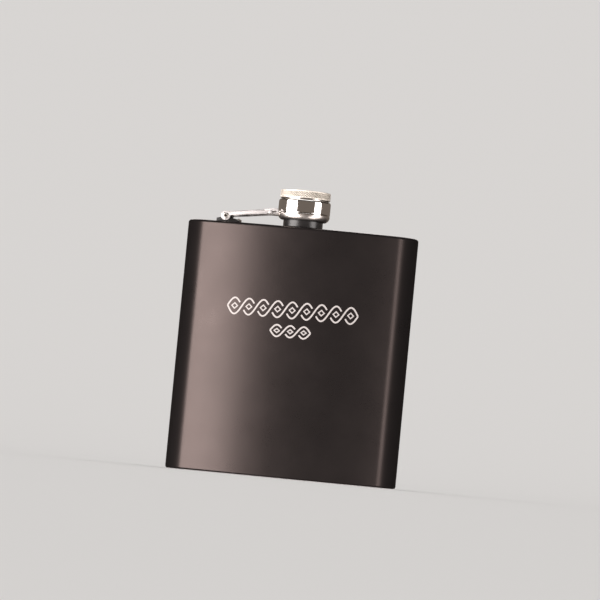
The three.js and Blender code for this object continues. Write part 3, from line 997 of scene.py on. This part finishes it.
def arm(material):
    """A stamped channel: two legs with ears and slots, and a web bent over their tops."""
    reach = ARM_VECTOR.length
    top, bottom = LEG_MIDDLE[0] + LEG_HALF[0], LEG_MIDDLE[0] - LEG_HALF[0]
    tip_x = ARM_LENGTH - LEG_HALF[1]
    tip_top = LEG_MIDDLE[1] + LEG_HALF[1]
    ear_x = math.sqrt(EAR_R**2 - top**2)
    ear_start = math.degrees(math.asin(top / EAR_R))
    ear_end = 360 + math.degrees(math.asin(bottom / EAR_R))
    slope = (tip_top - top) / (tip_x - ear_x)
    web_to = reach - WEB_BACK
    notch_from, notch_to = WEB_FROM + WEB_LAP, web_to - WEB_LAP

    def leg_top(x):
        return top + slope * (x - ear_x)

    leg = (
        arc(0, 0, EAR_R, ear_start + 5, ear_end - 8, 56)
        + [(EAR_R + 0.12, bottom - 0.08), (EAR_R + 0.4, bottom - 0.02)]
        + arc(tip_x, LEG_MIDDLE[1], LEG_HALF[1], -90, 90, 24)
        + [(notch_to, leg_top(notch_to)), (notch_to, leg_top(notch_to) - ARM_BEND)]
        + [(notch_from, leg_top(notch_from) - ARM_BEND), (notch_from, leg_top(notch_from))]
        + [(ear_x + 0.4, leg_top(ear_x + 0.4))]
    )
    slot_r = SLOT_PIN_R + SLOT_CLEARANCE
    slot = (
        arc(reach + SLOT_TRAVEL, 0, slot_r, 90, -90, 14) + arc(reach, 0, slot_r, -90, -270, 14)
    )
    holes = [round_hole(0, 0, HINGE_PIN_R + PIN_CLEARANCE), slot]
    place = Matrix.Translation(HINGE) @ Matrix.Rotation(-ARM_ANGLE, 4, "Y")
    outer = ARM_INNER + SHEET
    body = slab("link_arm_fine", leg, holes, -outer, -ARM_INNER, SHEET_EDGE, place)
    other = slab("leg", leg, holes, ARM_INNER, outer, SHEET_EDGE, place)
    combine(body, [other, arm_web(leg_top, web_to, outer, place)], "UNION")
    dress(body, "arm", ["link_arm"], material)


def arm_web(leg_top, web_to, outer, place):
    """The web and its two bends, as one bent strip whose height follows the legs."""
    tuck = 0.3
    points = []
    stations = [WEB_FROM, WEB_FROM + SHEET_EDGE, web_to - SHEET_EDGE, web_to]
    for index, x in enumerate(stations):
        inset = SHEET_EDGE if index in (0, 3) else 0
        top = leg_top(x) - inset * 0.5
        out = outer - inset * 0.5
        inner_r = 0.12
        section = (
            [(-out, top - ARM_BEND - tuck)]
            + arc(-out + ARM_BEND, top - ARM_BEND, ARM_BEND, 180, 90, 6)
            + arc(out - ARM_BEND, top - ARM_BEND, ARM_BEND, 90, 0, 6)
            + [(out, top - ARM_BEND - tuck), (ARM_INNER, top - ARM_BEND - tuck)]
            + arc(ARM_INNER - inner_r, top - SHEET - inner_r, inner_r, 0, 90, 3)
            + arc(-ARM_INNER + inner_r, top - SHEET - inner_r, inner_r, 90, 180, 3)
            + [(-ARM_INNER, top - ARM_BEND - tuck)]
        )
        points += [place @ Vector((x, y, z)) for y, z in section]
    width = len(points) // len(stations)
    faces = []
    for i in range(len(stations) - 1):
        for j in range(width):
            k = (j + 1) % width
            faces.append((i * width + j, (i + 1) * width + j, (i + 1) * width + k, i * width + k))
    faces.append(tuple(range(width)))
    faces.append(tuple(reversed(range((len(stations) - 1) * width, len(stations) * width))))
    return new_object("web", points, faces)


def lug(material):
    """A knuckle that stands out of the sleeve towards the arm."""
    half = (LUG_HIGH.y - LUG_LOW.y) / 2
    reach = -SLOT_PIN.x
    outline = arc(0, 0, KNUCKLE_R, 90, 270, 28) + [(reach, -KNUCKLE_R), (reach, KNUCKLE_R)]
    hole = [round_hole(0, 0, SLOT_PIN_R + PIN_CLEARANCE, 24)]
    place = Matrix.Translation(SLOT_PIN)
    knuckle = slab("lug", outline, hole, -half, half, KNUCKLE_EDGE, place)
    cut_r = SLEEVE_R - LUG_OVERLAP
    profile = [(0.01, -4), (cut_r, -4), (cut_r, 4), (0.01, 4)]
    centre = Vector((0, NECK_Y, SLOT_PIN.z))
    cutter = revolve("cutter", lambda angle: profile, SLEEVE_STEPS, centre)
    combine(knuckle, [cutter], "DIFFERENCE")
    dress(knuckle, "sleeve", ["sleeve_lug"], material)


# ---- camera, light and floor ----

CAMERA_AZIMUTH = 6.0
CAMERA_DISTANCE = 1500.0
CAMERA_HEIGHT = 4.0
CAMERA_ROLL = 5.45
IMAGE_MM = 237.5            # width of the picture at the flask
CAMERA_TARGET = (1.5, 0.0, 71.1)
CLIP = (0.01, 50)           # metres; the floor comes close to the low camera
LIGHT_TARGET = (0, 0, 60)
FLOOR_LIGHT = (0.86, 0.845, 0.835, 1)
MIRRORED_ROOM = (0.03, 0.025, 0.022, 1)
WARM = (1.0, 0.95, 0.93)
ROSY = (1.0, 0.90, 0.88)
BROWN = (1.0, 0.84, 0.72)


def around(azimuth, distance, height):
    """A point around the flask in metres; azimuth 0 is in front, positive towards +X."""
    angle = math.radians(azimuth)
    return Vector((distance * math.sin(angle), -distance * math.cos(angle), height)) * MM


def aim(obj, target, roll=0.0):
    direction = target - obj.location
    turn = direction.to_track_quat("-Z", "Y").to_matrix().to_4x4()
    spin = Matrix.Rotation(math.radians(roll), 4, "Z")
    obj.matrix_world = Matrix.Translation(obj.location) @ turn @ spin


def camera():
    data = bpy.data.cameras.new("camera")
    data.sensor_width = 36
    data.lens = 36 * CAMERA_DISTANCE / IMAGE_MM
    data.clip_start, data.clip_end = CLIP
    obj = bpy.data.objects.new("camera", data)
    bpy.context.collection.objects.link(obj)
    obj.location = around(CAMERA_AZIMUTH, CAMERA_DISTANCE, CAMERA_HEIGHT)
    aim(obj, Vector(CAMERA_TARGET) * MM, CAMERA_ROLL)
    bpy.context.scene.camera = obj


def softbox(name, azimuth, distance, height, width, tall, radiance, tint=(1, 1, 1)):
    """A rectangular area light around the flask, unseen by the camera."""
    data = bpy.data.lights.new(name, "AREA")
    data.shape = "RECTANGLE"
    data.size, data.size_y = width * MM, tall * MM
    data.energy = radiance * math.pi * data.size * data.size_y
    data.color = tint
    obj = bpy.data.objects.new(name, data)
    bpy.context.collection.objects.link(obj)
    obj.location = around(azimuth, distance, height)
    aim(obj, Vector(LIGHT_TARGET) * MM)
    obj.visible_camera = False
    return obj


def linked(name, pieces, state):
    """A collection that a softbox lights alone (INCLUDE) or leaves out (EXCLUDE)."""
    group = bpy.data.collections.new(name)
    for piece in pieces:
        group.objects.link(piece)
    for entry in group.collection_objects:
        entry.light_linking.link_state = state
    return group


def lights(ground, body):
    """Softboxes for the metal and, set narrower, for the coated body. The ground is lit by
    the pale world alone."""
    metal_boxes = [
        softbox("left_box", -53, 800, -160, 850, 1500, 9.0, WARM),
        softbox("right_box", 68, 800, -160, 500, 1500, 6.0, WARM),
        softbox("top_box", 0, 1, 1100, 900, 900, 2.2),
    ]
    for azimuth in (0, 90, 180, 270):
        metal_boxes.append(softbox("fill_box", azimuth, 1300, 60, 2600, 1400, 0.16, BROWN))
    body_boxes = [
        softbox("body_left_box", -33, 800, -60, 282, 1000, 8.0, ROSY),
        softbox("body_right_box", 39, 800, -60, 170, 1000, 3.8, ROSY),
        softbox("body_back_box", 186, 800, -60, 260, 1300, 4.5, ROSY),
    ]
    body_only = linked("body_lit", body, "INCLUDE")
    not_body = linked("body_unlit", [ground, *body], "EXCLUDE")
    for boxes, group in ((metal_boxes, not_body), (body_boxes, body_only)):
        for box in boxes:
            box.light_linking.receiver_collection = group


def world():
    """Pale for the floor's light, dark for what the steel and the coat mirror."""
    scene_world = bpy.data.worlds.new("studio")
    bpy.context.scene.world = scene_world
    scene_world.use_nodes = True
    nodes, links = scene_world.node_tree.nodes, scene_world.node_tree.links
    background = nodes["Background"]
    path = nodes.new("ShaderNodeLightPath")
    mix = nodes.new("ShaderNodeMix")
    mix.data_type = "RGBA"
    links.new(path.outputs["Is Glossy Ray"], mix.inputs["Factor"])
    mix.inputs[6].default_value = FLOOR_LIGHT
    mix.inputs[7].default_value = MIRRORED_ROOM
    links.new(mix.outputs[2], background.inputs["Color"])
    scene_world.cycles.sampling_method = "NONE"


def floor():
    """A seamless pale floor that curves up into a wall all round."""
    flat, rise, wall = 3000.0, 2500.0, 4000.0
    profile = [(0.0, 0.0), (flat * 0.5, 0.0), (flat, 0.0)]
    profile += [
        (flat + rise * math.sin(math.radians(t)), rise * (1 - math.cos(math.radians(t))))
        for t in range(6, 91, 6)
    ]
    profile.append((flat + rise, wall))
    segments = 96
    points = [(0.0, 0.0, 0.0)]
    for radius, height in profile[1:]:
        for i in range(segments):
            angle = TAU * i / segments
            points.append((radius * math.cos(angle), radius * math.sin(angle), height))
    faces = [(0, 1 + i, 1 + (i + 1) % segments) for i in range(segments)]
    for ring in range(len(profile) - 2):
        a = 1 + ring * segments
        for i in range(segments):
            k = (i + 1) % segments
            faces.append((a + i, a + segments + i, a + segments + k, a + k))
    obj = new_object("floor", points, faces, 60)
    material = bpy.data.materials.new("pale_floor")
    material.use_nodes = True
    bsdf = material.node_tree.nodes["Principled BSDF"]
    bsdf.inputs["Base Color"].default_value = (0.80, 0.79, 0.78, 1)
    bsdf.inputs["Roughness"].default_value = 0.9
    bsdf.inputs["Specular IOR Level"].default_value = 0.1
    obj.data.materials.append(material)
    obj.visible_glossy = False
    obj.visible_diffuse = False
    obj.visible_shadow = False
    return obj


# ---- the whole scene ----


def build():
    camera()
    coat = powder_coat()
    arm_steel = brushed_steel("stamped_steel", (0.60, 0.575, 0.57), (0.06, 1.0, 1.0), 0.56, 0.66)
    rivet_steel = brushed_steel("rivet_steel", (0.72, 0.69, 0.66), (1.0, 1.0, 1.0), 0.26, 0.36)
    insert_steel = brushed_steel("turned_steel", (0.70, 0.68, 0.66), (0.08, 0.08, 1.0), 0.2, 0.3)
    body = shells(coat)
    end_plate("top_plate_fine", "top_plate", TOP - PLATE, SPIGOT_R + SPIGOT_GAP, coat)
    end_plate("base_plate_fine", "base_plate", FRONT_LOW.z, 0, coat)
    body.append(front_ornament(etched_steel()))
    neck(neck_finish())
    insert(insert_steel)
    liner(liner_plastic())
    sleeve(polished_steel())
    head(knurled_steel())
    bracket(bracket_coat())
    hinge_rivet(rivet_steel)
    slot_pin(arm_steel)
    arm(arm_steel)
    lug(rivet_steel)
    world()
    lights(floor(), body)
    bpy.context.scene.view_settings.view_transform = "Standard"


build()
